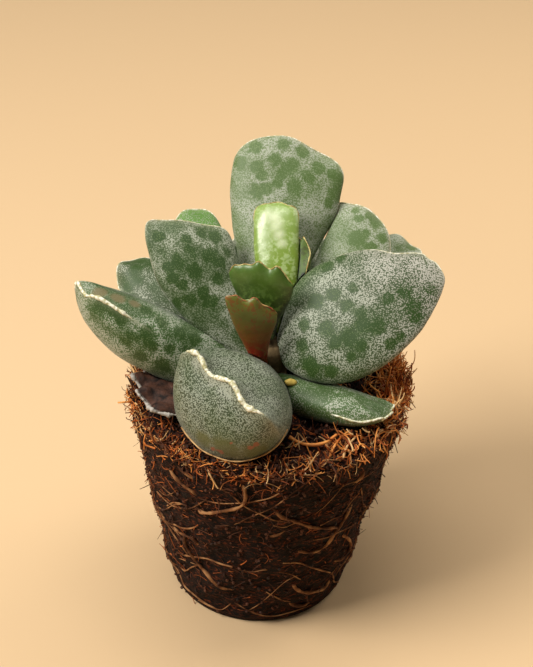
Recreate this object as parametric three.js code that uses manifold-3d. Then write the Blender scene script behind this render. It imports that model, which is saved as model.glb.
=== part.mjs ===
// A plover eggs plant (Adromischus cooperi) lifted out of its pot: a rosette of thick, spotted
// leaves on a short stem, standing in its own bare root ball of coir and circling roots.
// Millimetres, +Z up. The origin is the centre of the root ball's flat foot, and the front of the
// plant looks along -Y.
import * as THREE from 'three';
import { mergeVertices } from 'three/addons/utils/BufferGeometryUtils.js';
import Module from 'manifold-3d';

const wasm = await Module();
wasm.setup();

// Root ball: the shape of the small round nursery pot that it was grown in, leaning a little.
const BALL_HEIGHT = 44;
const BALL_TOP_RADIUS = 25;
const BALL_FOOT_RADIUS = 17;
const BALL_LEAN = 1.8; // the middle of the top lies this far to the right of the foot's
const BALL_MOUND = 1.6; // the soil rises this much from the rim to the stem
const BALL_AROUND = 40;
const LUMP = 0.5; // how far lumps of peat stand out of the side
const CRUMB = 0.8; // how far smaller ones stand up out of the top
const CRUMB_PITCH = 2.1; // how many times closer together those are

// Roots that circle on the ball's side, round the front as angles and heights, then by a rule.
const ROOT_RADIUS = 0.55;
const ROOT_STEPS = 7;
const FRONT_ROOTS = [
  [[221, 41], [228, 38], [237, 36], [245, 33]],
  [[225, 42], [234, 40], [243, 38]],
  [[234, 31], [241, 31], [250, 33], [260, 36], [261, 40], [257, 42]],
  [[268, 39], [275, 34], [283, 31], [293, 28], [304, 26], [316, 21.5]],
  [[319, 30], [311, 28], [306, 24], [302, 20], [292, 20.5], [280, 23]],
  [[310, 22], [320, 18], [325, 14], [316, 13], [300, 16]],
  [[230, 24], [227, 20], [230, 16], [238, 13], [248, 10.5], [258, 9]],
  [[206, 19], [222, 21], [233, 21.5], [237, 18]],
  [[269, 26], [276, 27.5], [283, 28.5]],
  [[284, 15], [290, 10], [301, 7], [312, 6.5], [317, 9]],
  [[284, 8], [290, 4.5], [300, 3], [312, 4]],
  [[319, 40], [313, 37], [307, 34]],
];
const BACK_ROOTS = 12;
const BACK_START = 335; // degrees
const BACK_STEP = 18;
const BACK_TURN = 39; // how far round each of them runs

// Loose coir fibres that stand out of the ball's ragged rim.
const FIBRES = 48;
const FIBRE_RADIUS = 0.36;
const FIBRE_LENGTH = 5.5;

// Stem, standing in a plain hole in the soil.
const STEM_RADIUS = 3.6;
const STEM_FOOT = 36;
const STEM_TOP = 53;

const GAP = 0.3; // between pieces that touch

// Leaf blades, on which 0 is the foot and 1 the tip.
const LEAF_AROUND = 14;
const LEAF_ALONG = 11;
const FOOT_ROUND = 0.06; // the foot is rounded off over this share of the length
const BELLY = 0.45; // where the faces are fullest
const UPPER_SHARE = 0.42; // of the thickness, above the leaf's middle surface
const KEEN = 0.5; // how much sharper the blade's edges are at the tip than at the neck
const WAVE_REACH = 3; // the waves of the horny edge fade out over this distance

const MATURE = 0x6f8063;
const FRESH = 0x6f9a3f;
const FLUSHED = 0x9a5b2c;
const DEAD = 0x4a2f33;
const PEAT = 0x3a2216;
const BARK = 0x6b5536;

// Each leaf: where its midline starts and ends, how far the middle of that line is bowed away from
// straight, and the way its upper face looks. Then its full width and thickness, the width of its
// neck, how quickly it swells out of the neck (low is quick), where along it is widest and where its
// tip starts to thin, how sharp the crest across the tip is, how square its end is on the left and
// on the right, how far that end slants, and the number and height of the waves in its horny edge.
// A leaf is cut clear of those before it.
const LEAVES = {
  leaf_front: {
    foot: [0.2, -2.5, 48], tip: [-5.4, -19.1, 59.2], bow: [-1, -2, -3], face: [0.45, 0.2, 0.75],
    width: 21.8, thick: 17.9, neck: 6, swell: 0.8, widest: 0.63, thin: 0.5, crest: 1,
    square: [3.7, 6], slant: -0.1, waves: 2.5, wave: 0.5, colour: MATURE,
  },
  leaf_right_broad: {
    foot: [5.4, 0.3, 51], tip: [30.5, 4.8, 66.6], bow: [-4.3, -4, -0.6], face: [-0.39, -0.68, 0.62],
    width: 21.4, thick: 7.3, neck: 6, swell: 0.97, widest: 0.56, thin: 0.6, crest: 0.7,
    square: [1.9, 2.1], slant: -0.01, waves: 2, wave: 0.6, colour: MATURE,
  },
  leaf_left_upright: {
    foot: [0.3, 0.1, 50.1], tip: [-12.6, 11.7, 70.5], bow: [-2.5, -0.9, 0.1], face: [0.28, -0.7, 0.65],
    width: 15.2, thick: 7.5, neck: 5, swell: 1.13, widest: 0.75, thin: 0.6, crest: 0.7,
    square: [6, 4.9], slant: -0.2, waves: 2, wave: 0.5, colour: MATURE,
  },
  leaf_left_low: {
    foot: [0.2, 0.1, 48.1], tip: [-31, 3.3, 62.6], bow: [0.2, -2, -2], face: [0.33, 0.59, 0.74],
    width: 12.2, thick: 11.3, neck: 5, swell: 1.46, widest: 0.64, thin: 0.6, crest: 0.6,
    square: [3.1, 3.2], slant: 0.31, waves: 2.5, wave: 0.5, colour: MATURE,
  },
  leaf_right_low: {
    foot: [0.8, -2.6, 45.6], tip: [22.1, -13.8, 47.7], bow: [-1.5, 0, 0.5], face: [0.11, 0.17, 0.98],
    width: 8.4, thick: 6.5, neck: 5, swell: 0.92, widest: 0.7, thin: 0.6, crest: 0.7,
    square: [5, 2.4], slant: -0.07, waves: 3, wave: 0.5, colour: MATURE,
  },
  leaf_back_tall: {
    foot: [1.8, 2.6, 50.9], tip: [6.9, 28.1, 77.3], bow: [-1, 1.6, -0.2], face: [0.01, -0.73, 0.68],
    width: 20.3, thick: 7.5, neck: 7, swell: 1.7, widest: 0.78, thin: 0.6, crest: 0.7,
    square: [1.8, 4.4], slant: -0.17, waves: 2, wave: 0.5, colour: MATURE,
  },
  leaf_back_right: {
    foot: [5.5, 1.2, 49.8], tip: [19.4, 20.5, 67.5], bow: [2.2, -1.3, -1.4], face: [-0.12, -0.74, 0.66],
    width: 12.8, thick: 6, neck: 5, swell: 1.71, widest: 0.63, thin: 0.6, crest: 0.7,
    square: [4.7, 2.6], slant: -0.3, waves: 2, wave: 0.4, colour: MATURE,
  },
  leaf_back_left: {
    foot: [0.8, 2.7, 49.3], tip: [-13.3, 26.4, 63.4], bow: [-1, -0.2, -1.3], face: [0, -0.5, 0.87],
    width: 10.2, thick: 7, neck: 5, swell: 1.2, widest: 0.75, thin: 0.6, crest: 0.7,
    square: [2.1, 2.9], slant: 0.04, waves: 2, wave: 0.4, colour: FRESH,
  },
  leaf_far_left: {
    foot: [0.4, 2.1, 47.8], tip: [-24.9, 16.3, 58.2], bow: [0, 0, -1], face: [0, -0.3, 0.95],
    width: 11.2, thick: 8.4, neck: 5, swell: 1, widest: 0.63, thin: 0.6, crest: 0.7,
    square: [2.6, 2.4], slant: 0.1, waves: 2, wave: 0.4, colour: MATURE,
  },
  leaf_far_right: {
    foot: [4.3, 0.9, 46.9], tip: [26.4, 26.5, 57.3], bow: [0.5, -0.6, -1.7], face: [-0.08, -0.24, 0.97],
    width: 13.4, thick: 8, neck: 5, swell: 1.2, widest: 0.7, thin: 0.6, crest: 0.7,
    square: [3.5, 3.5], slant: 0.1, waves: 2, wave: 0.4, colour: MATURE,
  },
  leaf_rear_left: {
    foot: [1.2, 3, 46.8], tip: [-3, 31, 54], bow: [0, 0, 0], face: [0, -0.2, 1],
    width: 13, thick: 7.5, neck: 5, swell: 1, widest: 0.68, thin: 0.6, crest: 0.7,
    square: [2.6, 2.6], slant: 0, waves: 2, wave: 0.4, colour: MATURE,
  },
  leaf_rear_right: {
    foot: [2.6, 3, 46.8], tip: [13, 30.5, 53.5], bow: [0, 0, 0], face: [0, -0.2, 1],
    width: 13, thick: 7.5, neck: 5, swell: 1, widest: 0.68, thin: 0.6, crest: 0.7,
    square: [2.6, 2.6], slant: 0, waves: 2, wave: 0.4, colour: MATURE,
  },
  young_leaf_orange: {
    foot: [0.6, -3.8, 49.8], tip: [-1.1, -5.2, 65.5], bow: [-0.2, 0.2, 0.2], face: [-0.06, 0.95, 0.3],
    width: 8.5, thick: 2.5, neck: 2.6, swell: 1.81, widest: 0.92, thin: 0.8, crest: 0.6,
    square: [2.7, 2.5], slant: 0.55, waves: 3, wave: 0.5, colour: FLUSHED,
  },
  young_leaf_shell: {
    foot: [1.6, -0.3, 53.6], tip: [0.1, 0.5, 68.9], bow: [0.3, 0.1, 0.1], face: [0.21, 0.92, 0.32],
    width: 11.3, thick: 2.2, neck: 3, swell: 1.7, widest: 0.82, thin: 0.8, crest: 0.6,
    square: [2.2, 1.5], slant: 0.2, waves: 3, wave: 0.6, colour: FRESH,
  },
  young_leaf_upright: {
    foot: [3.3, 1.6, 53.8], tip: [3.2, 16, 71.6], bow: [0, -1.5, 0.5], face: [0.09, 0.72, -0.68],
    width: 7.9, thick: 2.4, neck: 3.5, swell: 0.6, widest: 0.84, thin: 0.8, crest: 0.6,
    square: [4, 3.4], slant: 0.11, waves: 2, wave: 0.2, colour: FRESH,
  },
  young_leaf_hidden: {
    foot: [3.7, 1.3, 52.7], tip: [7.4, 12.8, 66.2], bow: [0, -0.6, -0.7], face: [-0.81, -0.2, 0.55],
    width: 8, thick: 2.8, neck: 3, swell: 1.06, widest: 0.68, thin: 0.8, crest: 0.6,
    square: [3.7, 3], slant: -0.02, waves: 3, wave: 0.5, colour: FRESH,
  },
  dead_leaf: {
    foot: [-2, -2, 46.5], tip: [-20.5, -7.5, 48], bow: [0, 0, -0.5], face: [0, 0, 1],
    width: 14, thick: 3, neck: 3, swell: 1, widest: 0.75, thin: 0.8, crest: 0.6,
    square: [3, 3], slant: 0, waves: 3, wave: 0.8, colour: DEAD,
  },
};

// Smooth step from 0 at a to 1 at b.
function ramp(value, a, b) {
  const x = THREE.MathUtils.clamp((value - a) / (b - a), 0, 1);
  return x * x * (3 - 2 * x);
}

// The point of a leaf's surface at a share v of the way from foot to tip and an angle phi round it,
// where phi 0 and 180 degrees are its two edges and 90 the middle of its upper face. grow thickens
// the leaf all over, for cutting room for it out of a neighbour.
function leafShape(leaf, grow = 0) {
  const foot = new THREE.Vector3(...leaf.foot);
  const tip = new THREE.Vector3(...leaf.tip);
  const bow = new THREE.Vector3(...leaf.bow);
  const handle = foot.clone().add(tip).multiplyScalar(0.5).addScaledVector(bow, 2);
  const midline = new THREE.QuadraticBezierCurve3(foot, handle, tip);
  const length = midline.getLength();
  const face = new THREE.Vector3(...leaf.face);
  const half = leaf.width / 2 + grow;
  const neck = leaf.neck / 2 + grow;
  const upper = leaf.thick * UPPER_SHARE + grow;
  const lower = leaf.thick * (1 - UPPER_SHARE) + grow;

  return (v, phi) => {
    const c = Math.cos(phi);
    const s = Math.sin(phi);
    const square = THREE.MathUtils.lerp(leaf.square[0], leaf.square[1], (c + 1) / 2);
    const footCap = Math.sqrt(Math.min(1, v / FOOT_ROUND));

    // The outline swells from the neck to its widest, and its end is a rounded square.
    const swelling = Math.min(1, v / leaf.widest);
    let t = v;
    let wide = neck + (half - neck) * Math.sin(Math.pow(swelling, leaf.swell) * Math.PI / 2);
    let edge = 0;
    if (v > leaf.widest) {
      const turn = ((v - leaf.widest) / (1 - leaf.widest)) * Math.PI / 2;
      t = leaf.widest + (1 - leaf.widest) * Math.pow(Math.sin(turn), 2 / square);
      wide = v < 1 ? half * Math.pow(Math.cos(turn), 2 / square) : 0;
      edge = Math.sin(turn);
    }
    const x = wide * footCap * c;

    // The faces bulge, and close in on the edge that runs across the tip.
    const belly = Math.sin(Math.min(1, Math.pow(t / BELLY, leaf.swell)) * Math.PI / 2);
    const thinning = Math.max(0, (t - leaf.thin) / (1 - leaf.thin));
    const taper = Math.pow(Math.max(0, 1 - thinning * thinning), leaf.crest);
    const bulge = neck + ((s > 0 ? upper : lower) - neck) * belly;
    const keen = 1 + KEEN * edge;
    let y = bulge * taper * footCap * Math.sign(s) * Math.pow(Math.abs(s), keen);

    // The horny edge waves, most at the edge itself.
    const rim = leaf.widest + (1 - leaf.widest) *
      Math.pow(Math.max(0, 1 - Math.pow(Math.min(1, Math.abs(x) / half), square)), 1 / square);
    const away = Math.hypot((rim - t) * length, y);
    const near = Math.exp(-Math.pow(away / WAVE_REACH, 2)) * ramp(t, leaf.widest - 0.1, leaf.widest + 0.15);
    const wave = near * leaf.wave * Math.sin((x / half) * Math.PI * leaf.waves + leaf.waves);
    y += wave;

    const point = midline.getPoint(t);
    const axis = midline.getTangent(t);
    const normal = face.clone().addScaledVector(axis, -face.dot(axis)).normalize();
    const side = new THREE.Vector3().crossVectors(axis, normal);
    const along = (leaf.slant * x + wave) * ramp(t, 0.3, 1) + grow * (2 * v - 1);
    return point.addScaledVector(side, x).addScaledVector(normal, y).addScaledVector(axis, along);
  };
}

// A closed ball of facets, drawn out into the shape that surface gives.
function drawnBall(around, along, surface) {
  const ball = new THREE.SphereGeometry(1, around, along);
  const at = ball.getAttribute('position');
  for (let i = 0; i < at.count; i += 1) {
    const v = Math.acos(THREE.MathUtils.clamp(-at.getY(i), -1, 1)) / Math.PI;
    const phi = Math.atan2(at.getZ(i), at.getX(i));
    const p = surface(v, phi);
    at.setXYZ(i, p.x, p.y, p.z);
  }
  return ball;
}

function solidOf(geometry) {
  const bare = geometry.clone();
  bare.deleteAttribute('normal');
  bare.deleteAttribute('uv');
  const merged = mergeVertices(bare, 1e-4);
  return new wasm.Manifold(new wasm.Mesh({
    numProp: 3,
    vertProperties: merged.getAttribute('position').array,
    triVerts: new Uint32Array(merged.index.array),
  }));
}

function geometryOf(solid) {
  const mesh = solid.getMesh();
  const geometry = new THREE.BufferGeometry();
  geometry.setAttribute('position', new THREE.BufferAttribute(mesh.vertProperties.slice(), 3));
  geometry.setIndex(new THREE.BufferAttribute(mesh.triVerts.slice(), 1));
  return geometry;
}

// The biggest body of a solid, without the scraps that a cut leaves.
function biggest(solid) {
  return solid.decompose().reduce((best, body) => (body.volume() > best.volume() ? body : best));
}

const leafSolid = (leaf, grow) => solidOf(drawnBall(LEAF_AROUND, LEAF_ALONG, leafShape(leaf, grow)));

// The stem, a round stub that tapers into the soil.
function stemSolid(grow) {
  const profile = [
    [0, STEM_FOOT - grow], [STEM_RADIUS * 0.8 + grow, STEM_FOOT - grow], [STEM_RADIUS + grow, BALL_HEIGHT],
    [STEM_RADIUS * 0.9 + grow, STEM_TOP - 1], [STEM_RADIUS * 0.6 + grow, STEM_TOP + grow],
    [0, STEM_TOP + grow],
  ].map(([r, z]) => new THREE.Vector2(r, z));
  return solidOf(new THREE.LatheGeometry(profile, 16).rotateX(Math.PI / 2).translate(BALL_LEAN, 0, 0));
}

// Numbers from 0 to 1 that look random and are the same each time.
let draw = 11;
function random() {
  draw = (draw * 16807) % 2147483647;
  return draw / 2147483647;
}

// Uneven lumps, from -1 to 1, as three crossing waves with a pitch of about 10 mm.
function lumps(x, y, z) {
  const east = Math.sin(0.62 * x + 1.3 * Math.sin(0.31 * z));
  const north = Math.sin(0.71 * y + 0.45 * z + 2);
  const slanting = Math.sin(0.5 * z - 0.37 * x + 0.4 * y);
  return (east + north + slanting) / 3;
}

// Moves a point of the plain upright ball onto the lumpy, leaning one, whose foot stays flat.
function roughen(p) {
  const share = p.z / BALL_HEIGHT;
  const out = LUMP * lumps(p.x, p.y, p.z) * ramp(p.z, 0.5, 4);
  const swell = 1 + out / Math.max(10, Math.hypot(p.x, p.y));
  const crumb = CRUMB * lumps(p.x * CRUMB_PITCH, p.y * CRUMB_PITCH, 3) *
    ramp(p.z, BALL_HEIGHT - 2, BALL_HEIGHT);
  return p.set(p.x * swell + BALL_LEAN * share, p.y * swell, p.z + crumb);
}

// A point of the ball's side, sunk that deep into it.
function onSide(degrees, height, sunk) {
  const r = THREE.MathUtils.lerp(BALL_FOOT_RADIUS, BALL_TOP_RADIUS, height / BALL_HEIGHT) - sunk;
  const a = THREE.MathUtils.degToRad(degrees);
  return roughen(new THREE.Vector3(r * Math.cos(a), r * Math.sin(a), height));
}

function peatSolid() {
  const side = [];
  for (let z = 4; z < BALL_HEIGHT - 3; z += 4) {
    side.push([THREE.MathUtils.lerp(BALL_FOOT_RADIUS, BALL_TOP_RADIUS, z / BALL_HEIGHT), z]);
  }
  const top = [1.2, 4, 8, 12, 16, 20].map((inset) => [
    BALL_TOP_RADIUS - inset, BALL_HEIGHT + BALL_MOUND * ramp(inset, 0, BALL_TOP_RADIUS),
  ]);
  const profile = [
    [0, 0], [BALL_FOOT_RADIUS - 1.2, 0], [BALL_FOOT_RADIUS, 1.2], ...side,
    [BALL_TOP_RADIUS - 0.3, BALL_HEIGHT - 1.2], ...top, [0, BALL_HEIGHT + BALL_MOUND],
  ].map(([r, z]) => new THREE.Vector2(r, z));
  const ball = new THREE.LatheGeometry(profile, BALL_AROUND).rotateX(Math.PI / 2);
  const at = ball.getAttribute('position');
  const p = new THREE.Vector3();
  for (let i = 0; i < at.count; i += 1) {
    roughen(p.fromBufferAttribute(at, i));
    at.setXYZ(i, p.x, p.y, p.z);
  }
  return solidOf(ball);
}

// A thin bar with a few sides along a smooth curve through some points.
function strand(points, radius, sides, steps) {
  const section = new THREE.Shape();
  for (let i = 0; i < sides; i += 1) {
    const a = (i / sides) * 2 * Math.PI;
    section[i ? 'lineTo' : 'moveTo'](radius * Math.cos(a), radius * Math.sin(a));
  }
  const extrudePath = new THREE.CatmullRomCurve3(points);
  return solidOf(new THREE.ExtrudeGeometry(section, { steps, bevelEnabled: false, extrudePath }));
}

// A root lies half sunk in the side, and dives into it at both ends.
function rootSolid(route) {
  const points = route.map(([degrees, height], i) => {
    const end = i === 0 || i === route.length - 1;
    return onSide(degrees, height, end ? 3 * ROOT_RADIUS : 0.2 * ROOT_RADIUS);
  });
  return strand(points, ROOT_RADIUS, 4, ROOT_STEPS);
}

// Round the back, each root wanders up or down by a few millimetres as it circles.
function backRoute(i) {
  const start = BACK_START + i * BACK_STEP;
  const height = 5 + 33 * random();
  const climb = 14 * (random() - 0.5);
  const bend = 8 * (random() - 0.5);
  return [0, 1, 2, 3].map((k) => [
    start + BACK_TURN * k / 3,
    THREE.MathUtils.clamp(height + climb * k / 3 + (k % 3 ? bend : 0), 3, BALL_HEIGHT - 3),
  ]);
}

// A fibre starts inside the rim and bends up and outwards, or along the rim.
function fibreSolid(i) {
  const a = (i / FIBRES) * 2 * Math.PI + 0.1 * random();
  const r = BALL_TOP_RADIUS - 0.5 - 5 * random();
  const turn = a + 2.6 * (random() - 0.5);
  const length = FIBRE_LENGTH * (0.6 + 0.6 * random());
  const rise = 0.9 * random() - 0.1;
  const start = roughen(new THREE.Vector3(r * Math.cos(a), r * Math.sin(a), BALL_HEIGHT));
  const way = new THREE.Vector3(Math.cos(turn), Math.sin(turn), rise).normalize();
  const reach = r > BALL_TOP_RADIUS - 3 ? 0.5 : 1;
  const point = (share, drop) => start.clone().addScaledVector(way, length * share * reach)
    .add(new THREE.Vector3(0, 0, -drop));
  return strand([point(-0.3, 1.6), point(0.1, 0.1), point(0.6, -0.4), point(1, 0.6)], FIBRE_RADIUS, 3, 4);
}

const plant = new THREE.Group();

function add(name, solid, color, roughness) {
  const mesh = new THREE.Mesh(geometryOf(solid), new THREE.MeshStandardMaterial({ color, roughness }));
  mesh.name = name;
  plant.add(mesh);
}

const rooms = [stemSolid(GAP)];
for (const [name, leaf] of Object.entries(LEAVES)) {
  let solid = leafSolid(leaf, 0);
  for (const room of rooms) {
    solid = solid.subtract(room);
  }
  add(name, biggest(solid), leaf.colour, 0.5);
  rooms.push(leafSolid(leaf, GAP));
}
add('stem', stemSolid(0), BARK, 0.9);

let ball = peatSolid();
for (const route of FRONT_ROOTS) {
  ball = ball.add(rootSolid(route));
}
for (let i = 0; i < BACK_ROOTS; i += 1) {
  ball = ball.add(rootSolid(backRoute(i)));
}
for (let i = 0; i < FIBRES; i += 1) {
  ball = ball.add(fibreSolid(i));
}
for (const room of rooms) {
  ball = ball.subtract(room);
}
add('root_ball', biggest(ball), PEAT, 0.95);

export default plant;
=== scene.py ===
import math
import random

import bmesh
import bpy
from mathutils import Euler, Matrix, Vector, noise
from mathutils.bvhtree import BVHTree


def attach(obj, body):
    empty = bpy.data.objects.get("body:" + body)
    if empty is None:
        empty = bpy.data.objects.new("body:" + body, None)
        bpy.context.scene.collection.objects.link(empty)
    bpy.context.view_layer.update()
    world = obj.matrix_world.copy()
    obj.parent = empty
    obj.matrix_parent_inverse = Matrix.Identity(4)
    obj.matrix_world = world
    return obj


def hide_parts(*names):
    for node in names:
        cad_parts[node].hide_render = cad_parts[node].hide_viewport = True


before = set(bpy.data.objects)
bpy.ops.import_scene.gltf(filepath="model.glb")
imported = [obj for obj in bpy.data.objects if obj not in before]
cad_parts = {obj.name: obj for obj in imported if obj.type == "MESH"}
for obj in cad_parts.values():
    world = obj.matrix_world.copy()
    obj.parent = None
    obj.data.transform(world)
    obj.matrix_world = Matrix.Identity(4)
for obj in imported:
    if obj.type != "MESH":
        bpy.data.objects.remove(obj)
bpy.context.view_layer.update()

# The studio, in metres: a wide, plain, pale floor with nothing else on it. It is level with the
# flat foot of the root ball and isn't part of the plant.
scene = bpy.context.scene
scene.view_settings.view_transform = "Standard"


def tone(red, green, blue):
    """A colour given as 0 to 255 on a screen, for a shader's socket."""
    share = [c / 255 for c in (red, green, blue)]
    return (*[c / 12.92 if c < 0.04 else ((c + 0.055) / 1.055) ** 2.4 for c in share], 1)


def put(tree, kind, sockets=None, **settings):
    """Adds a shader node. A socket's value is a number, a colour or another node's output."""
    made = tree.nodes.new("ShaderNode" + kind)
    for name, value in settings.items():
        setattr(made, name, value)
    for name, value in (sockets or {}).items():
        if isinstance(value, bpy.types.NodeSocket):
            tree.links.new(value, made.inputs[name])
        else:
            made.inputs[name].default_value = value
    return made


def new_material(name, roughness, specular, sockets=None):
    """A material, its node tree and its surface's shader, with what other sockets are set to."""
    material = bpy.data.materials.new(name)
    material.use_nodes = True
    surface = material.node_tree.nodes["Principled BSDF"]
    surface.inputs["Roughness"].default_value = roughness
    surface.inputs["Specular IOR Level"].default_value = specular
    for socket, value in (sockets or {}).items():
        surface.inputs[socket].default_value = value
    return material, material.node_tree, surface


def cloudy(tree, scale, detail, place=None, **more):
    """Noise at that scale per metre, from 0 to 1, fixed to the object unless a place is given."""
    if place is None:
        place = put(tree, "TexCoord").outputs["Object"]
    return put(tree, "TexNoise", {
        "Vector": place, "Scale": scale, "Detail": detail, **more,
    }).outputs["Fac"]


def kept(tree, name):
    """What the mesh keeps at each point under that name."""
    return put(tree, "Attribute", attribute_name=name).outputs["Fac"]


def added(tree, value, share, other):
    """The value times the share, and the other added to it."""
    return put(tree, "Math", {0: value, 1: share, 2: other}, operation="MULTIPLY_ADD").outputs[0]


def blend(tree, factor, first, second):
    """The first colour where the factor is 0, and the second where it is 1."""
    return put(tree, "Mix", {
        "Factor": factor, "A": first, "B": second,
    }, data_type="RGBA").outputs["Result"]


def two_tones(tree, value, low, high, first, second, most=1.0):
    """Runs from the first colour to the second as the value runs from low to high."""
    factor = put(tree, "MapRange", {
        "Value": value, "From Min": low, "From Max": high, "To Max": most,
    }).outputs["Result"]
    return blend(tree, factor, first, second)


def banded(tree, factor, *bands):
    """A colour that runs through the bands' colours as the factor passes their places."""
    made = put(tree, "ValToRGB", {"Fac": factor})
    marks = made.color_ramp.elements
    for _ in bands[2:]:
        marks.new(0.5)
    for mark, (at, colour) in zip(marks, bands):
        mark.position, mark.color = at, tone(*colour)
    return made.outputs["Color"]


def dress(tree, surface, colour, height=None, strength=0.0, depth=0.0):
    """Gives a surface its colour, and from the height a relief that is depth metres deep."""
    tree.links.new(colour, surface.inputs["Base Color"])
    if height is not None:
        relief = put(tree, "Bump", {"Height": height, "Strength": strength, "Distance": depth})
        tree.links.new(relief.outputs["Normal"], surface.inputs["Normal"])


def new_object(name, data):
    """An object in the scene, at the origin."""
    made = bpy.data.objects.new(name, data)
    scene.collection.objects.link(made)
    return made


def place_mesh(name, shape, *materials):
    """Turns a finished bmesh into a smooth-shaded object."""
    mesh = bpy.data.meshes.new(name)
    shape.to_mesh(mesh)
    shape.free()
    mesh.shade_smooth()
    for material in materials:
        mesh.materials.append(material)
    return new_object(name, mesh)


FLOOR_RADIUS = 4
floor_paint, _, _ = new_material("floor_paint", 0.85, 0.2, {"Base Color": tone(214, 184, 144)})
shape = bmesh.new()
bmesh.ops.create_circle(shape, cap_ends=True, segments=96, radius=FLOOR_RADIUS)
floor = place_mesh("floor", shape, floor_paint)

world = bpy.data.worlds.new("studio_air")
world.use_nodes = True
air = world.node_tree.nodes["Background"]
air.inputs["Color"].default_value = tone(250, 244, 236)
air.inputs["Strength"].default_value = 0.07
scene.world = world

AIM = Vector((0, 0, 0.05))


def soft_light(name, place, size, power, colour):
    """A square lamp that looks at the plant. Metres and watts."""
    lamp = bpy.data.lights.new(name, "AREA")
    lamp.size = size
    lamp.energy = power
    lamp.color = colour[:3]
    holder = new_object(name, lamp)
    holder.location = place
    holder.rotation_euler = (AIM - Vector(place)).to_track_quat("-Z", "Y").to_euler()


soft_light("window_left", (-0.38, -0.13, 0.49), 0.28, 4.3, tone(255, 250, 242))
soft_light("ceiling", (-0.02, 0.08, 0.52), 0.3, 1.35, tone(255, 250, 244))
soft_light("fill_right", (0.26, 0.16, 0.24), 0.2, 0.5, tone(255, 246, 232))

# The camera looks down at the plant by 37 degrees, as in the photo.
camera = new_object("camera", bpy.data.cameras.new("camera"))
camera.data.lens = 85
camera.data.sensor_width = 36
camera.data.clip_start = 0.01
camera.location = (0.0015, -0.2196, 0.2204)
camera.rotation_euler = (math.radians(53), 0, 0)
scene.camera = camera

# The stem: a short, knobbly, corky stub in the middle of the rosette. All the leaves grow on it,
# and it stands in the soil. The leaves hide nearly all of it. From here on, the values that set
# a form are in mm. Those of the stem, the leaves, the ball and its roots are as in the solids.
MM = 0.001
BALL_LEAN = 1.8
BALL_HEIGHT = 44
STEM_RADIUS = 3.6
STEM_FOOT = 36
STEM_TOP = 53
STEM_KNOB = 0.25
GAP = 0.3


def turned(profile, steps, middle=0.0):
    """A closed shape of revolution round an upright line, from radii and heights in mm."""
    shape = bmesh.new()
    points = [shape.verts.new(((middle + r) * MM, 0, z * MM)) for r, z in profile]
    edges = [shape.edges.new(pair) for pair in zip(points, points[1:])]
    bmesh.ops.spin(
        shape, geom=points + edges, cent=(middle * MM, 0, 0), axis=(0, 0, 1),
        angle=2 * math.pi, steps=steps, use_merge=True,
    )
    bmesh.ops.remove_doubles(shape, verts=shape.verts, dist=1e-6)
    bmesh.ops.recalc_face_normals(shape, faces=shape.faces)
    return shape


def stem_shape(grow, steps):
    """The plain stem, larger by grow all round."""
    return turned([
        (0, STEM_FOOT - grow), (STEM_RADIUS * 0.8 + grow, STEM_FOOT - grow),
        (STEM_RADIUS + grow, BALL_HEIGHT), (STEM_RADIUS * 0.9 + grow, STEM_TOP - 1),
        (STEM_RADIUS * 0.6 + grow, STEM_TOP + grow), (0, STEM_TOP + grow),
    ], steps, BALL_LEAN)


bark, tree, surface = new_material("bark", 0.9, 0.2)
grit = cloudy(tree, 900, 4)
dress(tree, surface, blend(tree, grit, tone(60, 48, 30), tone(150, 128, 92)), grit, 0.5, 0.0003)

shape = stem_shape(0, 48)
bmesh.ops.subdivide_edges(shape, edges=shape.edges, cuts=3, use_grid_fill=True)
shape.normal_update()
for vert in shape.verts:
    vert.co += vert.normal * STEM_KNOB * MM * (noise.noise(vert.co * 700) - 0.6)
stem = place_mesh("corky_stem", shape, bark)
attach(stem, "root")
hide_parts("stem")

# The full-grown leaves: thick, waterfilled blades that grow out of the stem, each ending in a
# wavy horny edge. Their skin is dark green under a fine silvery scurf that is thinner in spots.
# Each leaf's values say where its midline starts and ends, how far the middle of that is bowed,
# which way the upper face looks, and how the outline runs from the neck to the tip.
FOOT_ROUND = 0.06
BELLY = 0.45
UPPER_SHARE = 0.42
KEEN = 0.5
WAVE_REACH = 3
RIDGE_REACH = 0.9
SCALLOP_REACH = 2.5
RIM_REACH = 0.5
MIDLINE_STEPS = 40
SPOT_SPREAD = 1.15

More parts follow.
